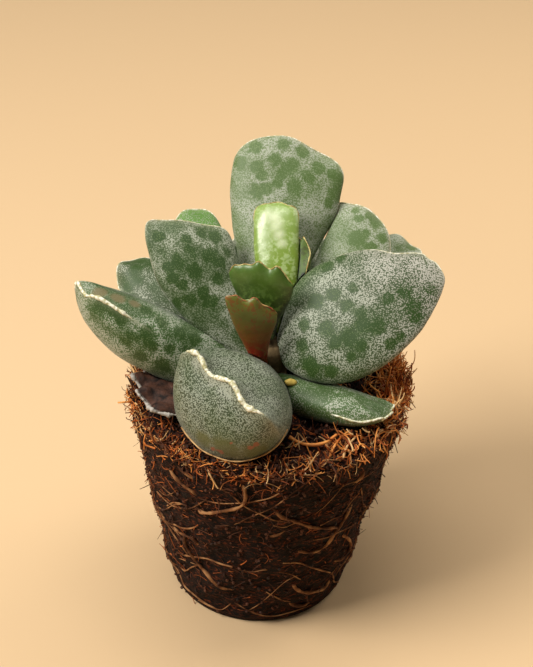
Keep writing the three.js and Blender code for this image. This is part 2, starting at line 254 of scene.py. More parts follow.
REAR = dict(
    bow=(0, 0, 0), face=(0, -0.2, 1), width=13, thick=7.5, neck=5, swell=1, widest=0.68,
    thin=0.6, crest=0.7, square=(2.6, 2.6), slant=0, waves=2, wave=0.4,
)
MATURE_LEAVES = {
    "leaf_front": dict(
        foot=(0.2, -2.5, 48), tip=(-5.4, -19.1, 59.2), bow=(-1, -2, -3), face=(0.45, 0.2, 0.75),
        width=21.8, thick=17.9, neck=6, swell=0.8, widest=0.63, thin=0.5, crest=1,
        square=(3.7, 6), slant=-0.1, waves=2.5, wave=0.5, ridge=0.5,
    ),
    "leaf_right_broad": dict(
        foot=(5.4, 0.3, 51), tip=(30.5, 4.8, 66.6), bow=(-4.3, -4, -0.6), face=(-0.39, -0.68, 0.62),
        width=21.4, thick=7.3, neck=6, swell=0.97, widest=0.56, thin=0.6, crest=0.7,
        square=(1.9, 2.1), slant=-0.01, waves=2, wave=0.2,
        scallops=[(-1.1, -0.56, 1.1), (3.65, 1.04, 2), (-5.36, -1.36, 2)],
    ),
    "leaf_left_upright": dict(
        foot=(0.3, 0.1, 50.1), tip=(-12.6, 11.7, 70.5), bow=(-2.5, -0.9, 0.1), face=(0.28, -0.7, 0.65),
        width=15.2, thick=7.5, neck=5, swell=1.13, widest=0.75, thin=0.6, crest=0.7,
        square=(6, 4.9), slant=-0.2, waves=2, wave=0.15,
    ),
    "leaf_left_low": dict(
        foot=(0.2, 0.1, 48.1), tip=(-31, 3.3, 62.6), bow=(0.2, -2, -2), face=(0.33, 0.59, 0.74),
        width=12.2, thick=11.3, neck=5, swell=1.46, widest=0.64, thin=0.6, crest=0.6,
        square=(3.1, 3.2), slant=0.31, waves=2.5, wave=0.5, ridge=0.4,
    ),
    "leaf_right_low": dict(
        foot=(0.8, -2.6, 45.6), tip=(22.1, -13.8, 47.7), bow=(-1.5, 0, 0.5), face=(0.11, 0.17, 0.98),
        width=8.4, thick=6.5, neck=5, swell=0.92, widest=0.7, thin=0.6, crest=0.7,
        square=(5, 2.4), slant=-0.07, waves=3, wave=0.5,
    ),
    "leaf_back_tall": dict(
        foot=(1.8, 2.6, 50.9), tip=(6.9, 28.1, 77.3), bow=(-1, 1.6, -0.2), face=(0.01, -0.73, 0.68),
        width=20.3, thick=7.5, neck=7, swell=1.7, widest=0.78, thin=0.6, crest=0.7,
        square=(1.8, 4.4), slant=-0.17, waves=2, wave=0.15,
    ),
    "leaf_back_right": dict(
        foot=(5.5, 1.2, 49.8), tip=(19.4, 20.5, 67.5), bow=(2.2, -1.3, -1.4), face=(-0.12, -0.74, 0.66),
        width=12.8, thick=6, neck=5, swell=1.71, widest=0.63, thin=0.6, crest=0.7,
        square=(4.7, 2.6), slant=-0.3, waves=2, wave=0.2,
    ),
    "leaf_back_left": dict(
        foot=(0.8, 2.7, 49.3), tip=(-13.3, 26.4, 63.4), bow=(-1, -0.2, -1.3), face=(0, -0.5, 0.87),
        width=10.2, thick=7, neck=5, swell=1.2, widest=0.75, thin=0.6, crest=0.7,
        square=(2.1, 2.9), slant=0.04, waves=2, wave=0.15,
    ),
    "leaf_far_left": dict(
        foot=(0.4, 2.1, 47.8), tip=(-24.9, 16.3, 58.2), bow=(0, 0, -1), face=(0, -0.3, 0.95),
        width=11.2, thick=8.4, neck=5, swell=1, widest=0.63, thin=0.6, crest=0.7,
        square=(2.6, 2.4), slant=0.1, waves=2, wave=0.4,
    ),
    "leaf_far_right": dict(
        foot=(4.3, 0.9, 46.9), tip=(26.4, 26.5, 57.3), bow=(0.5, -0.6, -1.7), face=(-0.08, -0.24, 0.97),
        width=13.4, thick=8, neck=5, swell=1.2, widest=0.7, thin=0.6, crest=0.7,
        square=(3.5, 3.5), slant=0.1, waves=2, wave=0.4,
    ),
    "leaf_rear_left": dict(REAR, foot=(1.2, 3, 46.8), tip=(-3, 31, 54)),
    "leaf_rear_right": dict(REAR, foot=(2.6, 3, 46.8), tip=(13, 30.5, 53.5)),
}


def ramp(value, low, high):
    """Smooth step from 0 at low to 1 at high."""
    x = min(1, max(0, (value - low) / (high - low)))
    return x * x * (3 - 2 * x)


def leaf_surface(leaf, grow=0.0):
    """The leaf's skin, larger by grow, as a function of v, from foot to tip, and of the angle phi
    round it. It gives a point in mm, how near that is to the horny edge, from 0 to 1, and its
    share of the way along the midline."""
    foot, tip, bow, face = (Vector(leaf[key]) for key in ("foot", "tip", "bow", "face"))
    handle = (foot + tip) / 2 + bow * 2

    def midline(t):
        return foot * (1 - t) ** 2 + handle * 2 * t * (1 - t) + tip * t ** 2

    stops = [midline(i / MIDLINE_STEPS) for i in range(MIDLINE_STEPS + 1)]
    length = sum((b - a).length for a, b in zip(stops, stops[1:]))
    half = leaf["width"] / 2 + grow
    neck = leaf["neck"] / 2 + grow
    upper = leaf["thick"] * UPPER_SHARE + grow
    lower = leaf["thick"] * (1 - UPPER_SHARE) + grow
    widest, thin = leaf["widest"], leaf["thin"]

    def skin(v, phi):
        c, s = math.cos(phi), math.sin(phi)
        square = leaf["square"][0] + (leaf["square"][1] - leaf["square"][0]) * (c + 1) / 2
        foot_cap = math.sqrt(min(1, v / FOOT_ROUND))

        # The outline swells from the neck to its widest, and its end is a rounded square.
        swelling = min(1, v / widest) ** leaf["swell"]
        t, edge = v, 0.0
        wide = neck + (half - neck) * math.sin(swelling * math.pi / 2)
        if v > widest:
            turn = (v - widest) / (1 - widest) * math.pi / 2
            t = widest + (1 - widest) * math.sin(turn) ** (2 / square)
            wide = half * max(0, math.cos(turn)) ** (2 / square) if v < 1 else 0
            edge = math.sin(turn)
        x = wide * foot_cap * c

        # The faces bulge, and close in on the edge that runs across the tip.
        belly = math.sin(min(1, (t / BELLY) ** leaf["swell"]) * math.pi / 2)
        thinning = max(0, (t - thin) / (1 - thin))
        taper = max(0, 1 - thinning ** 2) ** leaf["crest"]
        bulge = neck + ((upper if s > 0 else lower) - neck) * belly
        y = bulge * taper * foot_cap * math.copysign(abs(s) ** (1 + KEEN * edge), s)

        # The horny edge waves, most at the edge itself.
        outline = max(0, 1 - min(1, abs(x) / half) ** square) ** (1 / square)
        away = math.hypot((widest + (1 - widest) * outline - t) * length, y)
        onset = ramp(t, widest - 0.1, widest + 0.15)
        near = math.exp(-((away / WAVE_REACH) ** 2)) * onset
        wave = near * leaf["wave"] * math.sin((x / half * math.pi + 1) * leaf["waves"])
        y += wave
        lift = leaf.get("ridge", 0) * math.exp(-((away / RIDGE_REACH) ** 2)) * onset
        for at, rise, reach in leaf.get("scallops", ()):
            fall = ((x - at) / reach) ** 2 + (away / SCALLOP_REACH) ** 2
            lift += rise * math.exp(-fall) * onset

        point = midline(t)
        axis = ((handle - foot) * (1 - t) + (tip - handle) * t).normalized()
        normal = (face - axis * face.dot(axis)).normalized()
        side = axis.cross(normal)
        along = (leaf["slant"] * x + wave) * ramp(t, 0.3, 1) + grow * (2 * v - 1) + lift
        return point + side * x + normal * y + axis * along, math.exp(-away / RIM_REACH) * onset, t

    return skin


def nearness(point, spots):
    """How near a point is to the middle of a spot, from 0 to 1. Places and radii in mm."""
    return max(
        math.exp(-((point - Vector((x, y, z))).length / (SPOT_SPREAD * r)) ** 2)
        for x, y, z, r in spots
    )


def leaf_blade(leaf, grid, grow=0.0, marks=None):
    """A closed ball drawn out into the leaf. Kept at each point: its nearness to the horny edge as
    rim, its share of the way from foot to tip as share, and its nearness to each kind of mark."""
    skin = leaf_surface(leaf, grow)
    shape = bmesh.new()
    bmesh.ops.create_uvsphere(shape, u_segments=grid[0], v_segments=grid[1], radius=1)
    rim = shape.verts.layers.float.new("rim")
    share = shape.verts.layers.float.new("share")
    kinds = [(shape.verts.layers.float.new(kind), spots) for kind, spots in (marks or {}).items()]
    for vert in shape.verts:
        v = math.acos(max(-1, min(1, -vert.co.z))) / math.pi
        point, vert[rim], vert[share] = skin(v, math.atan2(vert.co.y, vert.co.x))
        vert.co = point * MM
        for kind, spots in kinds:
            vert[kind] = nearness(point, spots)
    shape.normal_update()
    bmesh.ops.recalc_face_normals(shape, faces=shape.faces)
    return shape


def uneven(shape, height, pitch):
    """Moves a skin in and out by up to about height, over about that pitch, both in mm."""
    shape.normal_update()
    for vert in shape.verts:
        vert.co += vert.normal * height * MM * noise.noise(vert.co / (pitch * MM))


def strands(name, routes, corners, *materials):
    """Closed round tubes along routes, which are lists of points in mm and radii in mm. The tubes
    take the materials in turn."""
    curve = bpy.data.curves.new(name, "CURVE")
    curve.dimensions = "3D"
    curve.bevel_depth = MM
    curve.bevel_resolution = corners // 2 - 2
    curve.use_fill_caps = True
    for material in materials:
        curve.materials.append(material)
    for i, route in enumerate(routes):
        spline = curve.splines.new("POLY")
        spline.points.add(len(route) - 1)
        for at, (point, radius) in zip(spline.points, route):
            at.co = (*(point * MM), 1)
            at.radius = radius
        spline.use_smooth = True
        spline.material_index = i % max(1, len(materials))
    holder = new_object(name, curve)
    bpy.context.view_layer.update()
    mesh = bpy.data.meshes.new_from_object(holder)
    bpy.data.objects.remove(holder)
    bpy.data.curves.remove(curve)
    mesh.name = name
    mesh.shade_smooth()
    return mesh


# Without a seed of its own, noise_vector would give other vectors each run.
noise.seed_set(7)
CREST_POINTS = 600
CREST_STEP = 0.16
CREST_FADE = 2.5
CREST_SWAY = 0.32


def crest_route(leaf, start, end, width, knobs):
    """The line of the horny edge, from start to end, where 0 is the middle of the tip and -1 and 1
    are the corners at the widest, with a knobbly radius that fades out at both ends."""
    skin = leaf_surface(leaf)
    line = []
    for i in range(CREST_POINTS + 1):
        m = start + (end - start) * i / CREST_POINTS
        v = 1 - abs(m) * (1 - leaf["widest"])
        line.append(skin(v, 0 if m > 0 else math.pi)[0])
    route, gone = [], 0.0
    total = sum((b - a).length for a, b in zip(line, line[1:]))
    for a, b in zip(line, line[1:]):
        gone += (b - a).length
        if gone < CREST_STEP * len(route):
            continue
        fade = math.sqrt(ramp(gone, 0, CREST_FADE) * ramp(total - gone, 0, CREST_FADE)) + 0.05
        bead = 1 + knobs * (noise.noise(b * 1.1) + 0.6 * noise.noise(b * 2.6 + Vector((5, 5, 5))))
        shift = noise.noise_vector(b * 1.4) * CREST_SWAY * width * knobs
        route.append((b + shift, width / 2 * fade * bead))
    return route


DEEP = tone(44, 70, 22)
GREEN = tone(86, 100, 68)
WAX = tone(84, 104, 60)
SILVER = tone(160, 166, 148)
LILAC = tone(186, 174, 170)
CREAM = tone(206, 204, 174)
SCAR = tone(140, 74, 40)
SCURF_PITCH = 0.25 * MM
SPOT_PITCH = 3.4 * MM
RIM_PALENESS = 0.25


def scurfy_skin(
    name, seed, deep=DEEP, green=GREEN, wax=WAX, silver=SILVER, stain=SCAR, cover=0.5,
    clouds=0.3, cloud=5, spots=0, tinge=0,
):
    """Green skin under fine silvery scurf that grows in grains. cover is how much of the skin they
    hide, clouds how strongly that changes over cloud mm, spots how strongly dark spots show, and
    tinge how lilac the scurf is at the tip."""
    material, tree, surface = new_material(name, 0.5, 0.4, {
        "Sheen Weight": 0.12, "Sheen Roughness": 0.4,
    })
    place = put(tree, "Mapping", {
        "Vector": put(tree, "TexCoord").outputs["Object"], "Location": seed,
    }).outputs["Vector"]

    def spread(value, low, high, to_low=0.0, to_high=1.0):
        """Goes smoothly from to_low to to_high as the value goes from low to high."""
        return put(tree, "MapRange", {
            "Value": value, "From Min": low, "From Max": high, "To Min": to_low, "To Max": to_high,
        }, interpolation_type="SMOOTHSTEP").outputs["Result"]

    bent = put(tree, "TexNoise", {"Vector": place, "Scale": 0.7 / SCURF_PITCH, "Detail": 1.0})
    shifted = put(tree, "VectorMath", {
        0: bent.outputs["Color"], 1: [0.9 * SCURF_PITCH] * 3, 2: place,
    }, operation="MULTIPLY_ADD").outputs["Vector"]
    grain = put(tree, "TexVoronoi", {
        "Vector": shifted, "Scale": 1 / SCURF_PITCH,
    }).outputs["Distance"]
    patches = cloudy(tree, 1 / (cloud * MM), 2, place)
    ragged = cloudy(tree, 1100, 2, place)
    covered = spread(patches, 0.36, 0.64, -clouds, clouds)

    # Dark spots, some of them in set places, and the pale, stained and scarred ones.
    if spots:
        cells = put(tree, "TexVoronoi", {
            "Vector": place, "Scale": 1 / SPOT_PITCH, "Randomness": 0.85,
        }).outputs["Distance"]
        dark = spread(added(tree, ragged, 0.4, cells), 0.38, 0.75, 1, 0)
        covered = added(tree, dark, -spots, covered)
    for kind, weight in (("spot", -0.7), ("pale", 0.7)):
        edged = added(tree, ragged, 0.9, kept(tree, kind))
        covered = added(tree, spread(edged, 0.55, 1.15), weight, covered)
    tip_near = spread(kept(tree, "share"), 0.55, 0.95)
    covered = added(tree, tip_near, 0.6 * tinge, covered)
    reach = added(tree, covered, 0.24, 0.32 + 0.44 * cover)
    scurf = spread(added(tree, grain, -1, reach), -0.07, 0.07)

    under = blend(tree, spread(covered, -0.55, 0.25), deep, green)
    waxy = blend(tree, spread(covered, -0.55, 0.3), wax, silver)
    waxy = blend(tree, added(tree, tip_near, tinge, 0), waxy, LILAC)
    colour = blend(tree, scurf, under, waxy)
    stained = spread(added(tree, ragged, 0.5, kept(tree, "stain")), 0.5, 1.0, 0, 0.85)
    colour = blend(tree, stained, colour, stain)
    scarred = spread(added(tree, ragged, 0.6, kept(tree, "scar")), 0.75, 0.95, 0, 0.9)
    colour = blend(tree, scarred, colour, SCAR)
    colour = blend(tree, added(tree, kept(tree, "rim"), RIM_PALENESS, 0), colour, CREAM)
    dress(tree, surface, colour, scurf, 0.35, 0.00008)
    return material


horn, tree, surface = new_material("horny_edge", 0.45, 0.4)
bits = cloudy(tree, 1900, 2)
horny = two_tones(tree, bits, 0.4, 0.62, tone(176, 172, 128), tone(236, 234, 216))
dress(tree, surface, horny, bits, 0.4, 0.0001)

# Each leaf's skin, and its horny edge's start, end, width in mm and knobbliness.
LIGHT = dict(green=tone(108, 124, 84), deep=tone(78, 102, 50), wax=tone(104, 124, 78))
MATURE_SKINS = {
    "leaf_front": (dict(
        green=tone(58, 65, 46), silver=tone(146, 152, 136), stain=tone(80, 84, 34),
        cover=0.4, clouds=0.1,
    ), (-0.5, 0.5, 0.75, 0.6)),
    "leaf_right_broad": (dict(
        green=tone(66, 80, 50), cover=0.36, clouds=0.25, cloud=7, tinge=0.4,
    ), (-0.85, 0.15, 0.2, 0.15)),
    "leaf_left_upright": (dict(cover=0.4, clouds=0.3), (-0.7, 0.9, 0.22, 0.15)),
    "leaf_left_low": (dict(
        green=tone(70, 96, 52), stain=tone(112, 102, 70), cover=0.4, clouds=0.3,
    ), (-0.9, 0.15, 0.6, 0.6)),
    "leaf_right_low": (dict(
        green=tone(66, 92, 44), deep=tone(44, 66, 22), cover=0.05, clouds=0.2,
    ), (-0.55, 1, 0.42, 0.6)),
    "leaf_back_tall": (dict(LIGHT, cover=0.5, clouds=0.2), (-0.9, 0.9, 0.2, 0.15)),
    "leaf_back_right": (dict(LIGHT, cover=0.45, clouds=0.2), (-0.9, 0.9, 0.25, 0.2)),
    "leaf_back_left": (dict(
        green=tone(88, 128, 52), deep=tone(70, 112, 38), cover=0.1, clouds=0.1,
    ), (-0.9, 0.9, 0.2, 0.2)),
    "leaf_far_left": (dict(green=tone(66, 80, 50), cover=0.1, spots=0.4), (-0.9, 0.9, 0.2, 0.2)),
    "leaf_far_right": (dict(LIGHT, cover=0.5, spots=0.4), (-0.9, 0.9, 0.2, 0.2)),
    "leaf_rear_left": (dict(cover=0.5, spots=0.8), (-0.9, 0.9, 0.5, 0.4)),
    "leaf_rear_right": (dict(cover=0.5, spots=0.8), (-0.9, 0.9, 0.5, 0.4)),
}

# The marks that stand in set places: dark spots, pale patches of dense scurf, stained places and
# brown scars. Each has its place and its radius, in mm.
MARKS = {
    "leaf_front": {
        "pale": [
            (-9.8, -14.6, 60.1, 0.9), (-8.5, -16.4, 59.4, 0.9), (-7.2, -18.1, 58.9, 0.9),
            (-5.5, -19.9, 58.7, 1.1), (-4.6, -21, 58.4, 0.8),
        ],
        "stain": [(-5.2, -23.4, 48.6, 2.8), (-0.4, -24.1, 48.9, 2.4), (-8.9, -21.3, 48.8, 1.8)],
        "scar": [
            (-1.2, -24.6, 50, 0.7), (-0.1, -24.8, 50.9, 0.7), (-7.4, -22, 47.4, 0.6),
            (-6.1, -22.6, 47.2, 0.7), (-4.3, -24.1, 50.4, 0.4), (-9.9, -20.5, 49.2, 0.3),
        ],
    },
    "leaf_right_broad": {"spot": [
        (17.2, -3.5, 61.9, 1.1), (17.6, -4.9, 60.6, 1.1), (20.3, -5.4, 60.5, 1.2),
        (15.4, -6, 58.7, 1.2),
        (11.7, -4.1, 59.2, 1.4), (13.2, -6.2, 57.6, 1), (22.1, -1.9, 63.8, 0.9), (25, -1, 64.4, 1),
        (26.6, -2.8, 62.6, 1.2), (26.9, -4, 61.3, 1), (22.6, -7.2, 58.2, 1),
        (24.2, -6.5, 58.9, 0.8),
        (17.6, -7.3, 57.8, 0.8), (29.9, 0.1, 64.2, 0.9), (7.5, -4.4, 55.7, 1.2),
        (9.2, -7, 52.9, 1.4),
        (12.1, 4.9, 65.6, 0.9), (14.3, 6.2, 66.6, 0.7), (10, -0.1, 61.9, 1.2), (13, 0, 63.4, 1.2),
        (15.2, -2, 62.6, 1.2), (16.3, 0.1, 64.5, 0.9), (8, -2.4, 58.6, 1), (15.9, -8.1, 56.1, 0.7),
        (12.4, -8.4, 53.2, 1),
    ]},
    "leaf_left_upright": {"spot": [
        (-15.4, 4.1, 66, 0.9), (-14.6, 3.1, 64.6, 0.9), (-13, 2.4, 63.6, 0.9),
        (-11.7, 1.2, 61.3, 0.9),
        (-9.3, 2.1, 62.3, 1), (-8.2, 1.4, 60.9, 1.2), (-6.9, 4.1, 63.5, 0.9), (-11, 4, 65.3, 1),
        (-13.9, 4.6, 66.7, 0.9), (-6.5, 6.5, 65.6, 1), (-8.4, 6.9, 67, 1.2), (-11.3, 7, 67.4, 0.9),
        (-5.1, 8.4, 66.5, 0.8), (-14.1, 1.3, 60.6, 0.7), (-12.4, 8.1, 69.3, 0.9),
        (-9.9, 9.9, 69.4, 1),
        (-7.6, 10, 68.5, 1), (-17.1, 7.9, 70, 0.9),
    ]},
    "leaf_left_low": {
        "spot": [
            (-23.2, -3.8, 60.9, 1), (-21.4, -5.1, 58.3, 1), (-18, -5.8, 56.7, 1),
            (-15.1, -5.6, 55.9, 1),
            (-16.4, -3, 59.4, 0.9), (-19.3, -1.2, 61.1, 0.9), (-13.3, -3.3, 57.7, 0.9),
            (-20.1, -6, 54.4, 1), (-16.3, -6.3, 53, 1.2), (-22.4, -5.3, 57, 0.9),
            (-19, -5, 58.6, 1.2),
            (-26.5, -2.2, 62.8, 1), (-24.7, -3.1, 61.8, 0.9), (-10.6, -3.1, 56.1, 1),
        ],
        "stain": [(-27.1, 0.8, 63.2, 1.4), (-24, -0.3, 62.7, 1.4), (-21.1, -0.7, 61.8, 1)],
    },
    "leaf_right_low": {"pale": [
        (12.4, -13.5, 49.2, 0.8), (14, -12.8, 49.9, 1), (15.6, -12.4, 50, 0.9),
        (17, -14.4, 49.4, 1),
        (18.5, -15, 49.1, 0.5), (13.7, -10.1, 50.2, 0.5), (16.3, -10.8, 49.9, 0.3),
    ]},
    "leaf_back_tall": {"spot": [
        (0.7, 22.2, 73.6, 0.9), (-0.3, 23.5, 74.6, 0.9), (-3.3, 24.7, 74.7, 1.1),
        (-0.4, 26.6, 76.9, 1.1),
        (3, 24.5, 75.7, 1.1), (6.1, 23.8, 74.9, 1.1), (4.7, 22.6, 74.1, 0.9), (0, 20.2, 71.5, 1.2),
        (1.6, 20.4, 72, 1.1), (3.5, 21.1, 72.7, 0.9), (6.5, 20.8, 72.3, 1.2),
        (9.1, 22.3, 73.2, 1.1),
        (10.9, 23.9, 74, 1.1), (14, 21.2, 70.2, 1.3), (12.7, 19.7, 69.3, 0.9),
        (13.2, 23.6, 73.1, 0.9),
        (14.8, 23.4, 72.2, 0.9), (4.5, 26.8, 77.3, 1.1), (8, 26.1, 76.2, 1.1),
    ]},
    "leaf_back_right": {"spot": [
        (18.1, 18.3, 67, 0.7), (20.2, 19.1, 67.1, 0.9), (21, 18.1, 66.3, 1.1),
        (17.6, 14.9, 64.9, 1.2),
        (19.2, 15.8, 65.4, 0.7), (22.1, 15.5, 64.6, 0.9), (20, 13.6, 63.9, 1.1),
        (17.5, 19.9, 67.7, 0.7),
    ]},
}

FINE_GRID = (128, 96)
THIN_GRID = (96, 80)
ROOM_GRID = (48, 40)
SWELLING = 0.12
SWELLING_PITCH = 5
PITTING = 0.04
PITTING_PITCH = 1.5
LEAF_CREASE = 50

# What a new leaf has to be cut clear of: the stem and the leaves before it, each a little larger.
rooms = [place_mesh("room_of_stem", stem_shape(GAP, 24))]


def clear_of_rooms(piece):
    """Cuts from a piece the room that the stem and the leaves before it need."""
    for room in rooms:
        cut = piece.modifiers.new(room.name, "BOOLEAN")
        cut.object = room
        cut.solver = "MANIFOLD"
    graph = bpy.context.evaluated_depsgraph_get()
    done = bpy.data.meshes.new_from_object(piece.evaluated_get(graph))
    piece.modifiers.clear()
    piece.data = done


def grow_leaf(node, leaf, grid, crest, materials, marks=None, wrinkle=0.0):
    """Builds one leaf with its horny edge, in the place of the solid of that name. The first
    material is the skin's, and the second the edge's."""
    shape = leaf_blade(leaf, grid, 0.0, marks)
    uneven(shape, SWELLING, SWELLING_PITCH)
    uneven(shape, PITTING + wrinkle, PITTING_PITCH)
    blade = place_mesh(node + "_grown", shape, *materials)
    clear_of_rooms(blade)
    edge = strands(node + "_edge", [crest_route(leaf, *crest)], 8)
    shape = bmesh.new()
    shape.from_mesh(blade.data)
    skin_faces = len(shape.faces)
    shape.from_mesh(edge)
    shape.faces.ensure_lookup_table()
    for face in shape.faces[skin_faces:]:
        face.material_index = 1
    shape.to_mesh(blade.data)
    shape.free()
    blade.data.shade_smooth()
    blade.data.set_sharp_from_angle(angle=math.radians(LEAF_CREASE))
    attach(blade, "root")
    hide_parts(node)
    rooms.append(place_mesh("room_of_" + node, leaf_blade(leaf, ROOM_GRID, GAP)))


for i, (node, leaf) in enumerate(MATURE_LEAVES.items()):
    skin, crest = MATURE_SKINS[node]
    material = scurfy_skin(node + "_skin", (0.013 * i, 0.007 * i, 0.003 * i), **skin)
    slot = "young_leaf" if node == "leaf_back_left" else "mature_leaf"
    grow_leaf(node, leaf, FINE_GRID, crest, (material, horn), MARKS.get(node))

# The young leaves in the middle: thin, glossy and bright, without the silvery scurf. One is
# orange red at its foot. Three have scalloped upper edges, and all have a thin dry rind there.
YOUNG_LEAVES = {
    "young_leaf_orange": dict(
        foot=(0.6, -3.8, 49.8), tip=(-1.1, -5.2, 65.5), bow=(-0.2, 0.2, 0.2), face=(-0.06, 0.95, 0.3),
        width=8.5, thick=2.5, neck=2.6, swell=1.81, widest=0.92, thin=0.8, crest=0.6,
        square=(2.7, 2.5), slant=0.55, waves=3, wave=0.1,
        scallops=[
            (3.78, 0.49, 0.7), (2.2, 0.7, 0.8), (1.6, -0.4, 0.7), (-0.73, 1.4, 0.9),
            (-2.6, 0.3, 0.8), (-3.58, -0.2, 0.7),
        ],
    ),
    "young_leaf_shell": dict(
        foot=(1.6, -0.3, 53.6), tip=(0.1, 0.5, 68.9), bow=(0.3, 0.1, 0.1), face=(0.21, 0.92, 0.32),
        width=11.3, thick=2.2, neck=3, swell=1.7, widest=0.82, thin=0.8, crest=0.6,
        square=(2.2, 1.5), slant=0.2, waves=3, wave=0.1,
        scallops=[
            (4.4, 0.85, 0.8), (2.08, 0.28, 1), (-0.13, 0.8, 1), (-1.6, -0.25, 0.8),
            (-3.42, 1.14, 0.9), (-5.4, -0.99, 0.9),
        ],
    ),
    "young_leaf_upright": dict(
        foot=(3.3, 1.6, 53.8), tip=(3.2, 16, 71.6), bow=(0, -1.5, 0.5), face=(0.09, 0.72, -0.68),
        width=7.9, thick=2.4, neck=3.5, swell=0.6, widest=0.84, thin=0.8, crest=0.6,
        square=(4, 3.4), slant=0.11, waves=2, wave=0.2,
        scallops=[(-0.9, 0.11, 1.2), (-2.12, -0.11, 0.6), (2.94, -0.19, 0.8)],
    ),
    "young_leaf_hidden": dict(
        foot=(3.7, 1.3, 52.7), tip=(7.4, 12.8, 66.2), bow=(0, -0.6, -0.7), face=(-0.81, -0.2, 0.55),
        width=8, thick=2.8, neck=3, swell=1.06, widest=0.68, thin=0.8, crest=0.6,
        square=(3.7, 3), slant=-0.02, waves=3, wave=0.5,
    ),
}


def tender_skin(name, foot, middle, tip, mottled, rough):
    """Smooth bright skin whose colour runs from foot to tip, with mottling and a painted highlight on
    the pale marks.
    """
    material, tree, surface = new_material(name, rough, 0.5, {
        "Coat Weight": 0.9 * (0.75 - rough), "Coat Roughness": rough, "Subsurface Weight": 0.15,
        "Subsurface Radius": (0.6, 1.0, 0.2), "Subsurface Scale": 0.0012,
    })
    flecks = cloudy(tree, 700, 4, Roughness=0.65)
    shifted = added(tree, flecks, 0.35, kept(tree, "share"))
    colours = banded(tree, shifted, (0.48, foot), (0.75, middle), (1.0, tip))
    dotted = added(tree, cloudy(tree, 1700, 2), 0.8, flecks)
    patched = two_tones(tree, dotted, 0.9, 1.02, colours, tone(*mottled))
    # A painted highlight: the pale marks lighten the colour towards a pale green white, where the
    # lamp's glossy reflection would be.
    highlight_share = added(tree, flecks, 0.6, kept(tree, "pale"))
    painted_highlight = two_tones(tree, highlight_share, 0.5, 1.3, patched, tone(206, 216, 176), 0.85)
    dress(tree, surface, painted_highlight, flecks, 0.25, 0.0002)
    return material


# The colours of each young leaf's foot, middle, tip and mottling, and how rough it is.
YOUNG_SKINS = {
    "young_leaf_orange": ((140, 34, 4), (118, 80, 20), (104, 110, 42), (126, 82, 30), 0.45),
    "young_leaf_shell": ((24, 38, 6), (46, 72, 18), (74, 104, 34), (82, 110, 46), 0.4),
    "young_leaf_upright": ((100, 122, 30), (122, 148, 56), (134, 160, 80), (158, 180, 116), 0.3),
    "young_leaf_hidden": ((20, 36, 2), (46, 72, 14), (76, 100, 26), (62, 76, 18), 0.6),
}


def rind(name, dark, light):
    """The thin dry edge of a young leaf, in uneven tones."""
    material, tree, surface = new_material(name, 0.5, 0.4)
    dress(tree, surface, two_tones(tree, cloudy(tree, 1100, 2), 0.4, 0.6, dark, light))
    return material


tan_rind = rind("tan_rind", tone(150, 122, 66), tone(204, 192, 128))
red_rind = rind("red_rind", tone(150, 58, 34), tone(186, 150, 92))

# A painted highlight on the middle of the upright leaf: pale marks that lighten its colour along the
# lamp's reflection.
PAINTED_HIGHLIGHTS = {"young_leaf_upright": {"pale": [
    (1.5, 13.4, 70.9, 1.1), (2.6, 12.7, 70.6, 1.4), (3.2, 11.6, 69.8, 1.3), (3.7, 10.4, 68.9, 1.1),
    (4.2, 9.2, 67.8, 0.9),
]}}

YOUNG_CREST = (-1, 1, 0.22, 0.6)
for node, leaf in YOUNG_LEAVES.items():
    slot = "flushed_leaf" if node == "young_leaf_orange" else "young_leaf"
    skin = tender_skin(node + "_skin", *YOUNG_SKINS[node])
    edging = red_rind if slot == "flushed_leaf" else tan_rind
    marks = PAINTED_HIGHLIGHTS.get(node)
    grow_leaf(node, leaf, THIN_GRID, YOUNG_CREST, (skin, edging), marks)

# The dead leaf: an old one that has shrivelled to a thin, dark, wrinkled scale with a silvery
# edge. It lies on the soil at the left front.
DEAD_LEAF = dict(
    foot=(-2, -2, 46.5), tip=(-20.5, -7.5, 48), bow=(0, 0, -0.5), face=(0, 0, 1),
    width=14, thick=3, neck=3, swell=1, widest=0.75, thin=0.8, crest=0.6,
    square=(3, 3), slant=0, waves=3, wave=0.8,
)
DEAD_CREST = (-1.2, 1.2, 0.5, 1.0)
DEAD_WRINKLE = 0.5
dry_skin, tree, surface = new_material("dry_skin", 0.7, 0.3)
creases = cloudy(tree, 500, 6, Roughness=0.7)
browned = two_tones(tree, creases, 0.38, 0.64, tone(14, 6, 4), tone(84, 52, 38))
near_edge = added(tree, kept(tree, "rim"), creases, 0)
silvered = two_tones(tree, near_edge, 0.2, 0.4, browned, tone(146, 138, 130))
dress(tree, surface, silvered, creases, 0.7, 0.0006)
ash, _, _ = new_material("silvery_dry_edge", 0.5, 0.4, {"Base Color": tone(168, 162, 154)})
grow_leaf(
    "dead_leaf", DEAD_LEAF, THIN_GRID, DEAD_CREST, (dry_skin, ash),
    wrinkle=DEAD_WRINKLE,
)

# The root ball: dark moist peat and coir, still in the shape of the round nursery pot it was
# lifted from. Its foot is flat, its side lumpy, and its top a loose crumbly mound.
BALL_TOP_RADIUS = 25
BALL_FOOT_RADIUS = 17
BALL_MOUND = 1.6
LUMP = 0.5
CRUMB = 0.8
CRUMB_PITCH = 2.1
BEVEL = 1.2
RIM_DROP = 1.2
PEAT_STEP = 0.6
PEAT_ROUGH = 0.45
PEAT_CREASE = 60


def lumps(x, y, z):
    """Uneven lumps, from -1 to 1, as three crossing waves with a pitch of about 10 mm."""
    east = math.sin(0.62 * x + 1.3 * math.sin(0.31 * z))
    north = math.sin(0.71 * y + 0.45 * z + 2)
    slanting = math.sin(0.5 * z - 0.37 * x + 0.4 * y)
    return (east + north + slanting) / 3


